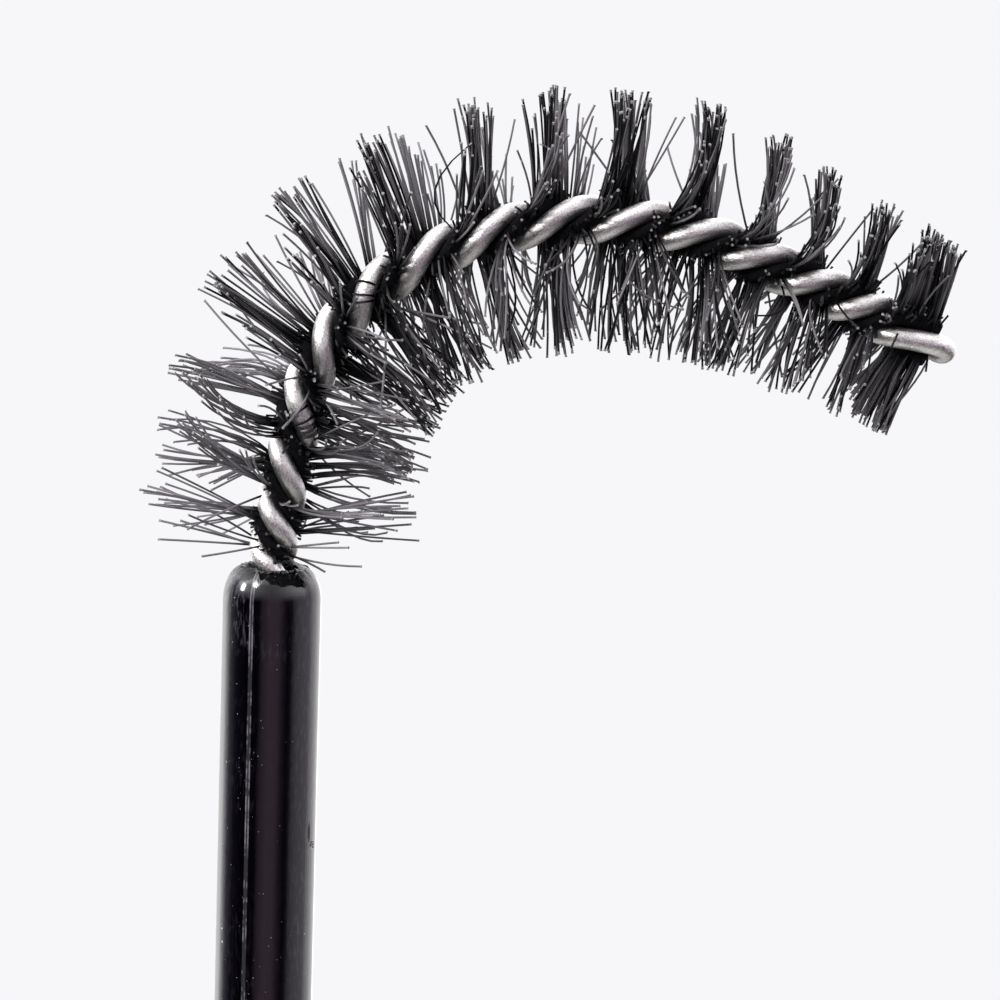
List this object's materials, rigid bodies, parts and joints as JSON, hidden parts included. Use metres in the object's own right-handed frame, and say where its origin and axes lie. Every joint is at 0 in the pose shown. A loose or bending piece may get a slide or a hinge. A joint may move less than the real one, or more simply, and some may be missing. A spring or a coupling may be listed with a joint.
{
  "type": "mascara wand",
  "caption": "Slim glossy handle with a bent twisted-wire brush of nylon bristles, for combing lashes and brows.",
  "frame": {"origin": "centre of the flat butt of the handle", "axes": "+Z along the handle towards the brush, +X the way the brush bends, XZ the plane of the bend"},
  "size_m": [0.0223, 0.0076, 0.0885],
  "materials": {
    "handle_plastic": "glossy black, injection moulded, with a fine parting line",
    "wire_steel": "satin drawn steel with light scratches",
    "bristle_nylon": "black nylon filament, soft sheen"
  },
  "bodies": {
    "root": {"handle": "handle_plastic", "wire_core": "wire_steel", "bristle_row_01": "bristle_nylon", "bristle_row_02": "bristle_nylon", "bristle_row_03": "bristle_nylon", "bristle_row_04": "bristle_nylon", "bristle_row_05": "bristle_nylon", "bristle_row_06": "bristle_nylon", "bristle_row_07": "bristle_nylon", "bristle_row_08": "bristle_nylon", "bristle_row_09": "bristle_nylon", "bristle_row_10": "bristle_nylon", "bristle_row_11": "bristle_nylon", "bristle_row_12": "bristle_nylon", "bristle_row_13": "bristle_nylon", "bristle_row_14": "bristle_nylon"}
  },
  "joints": []
}
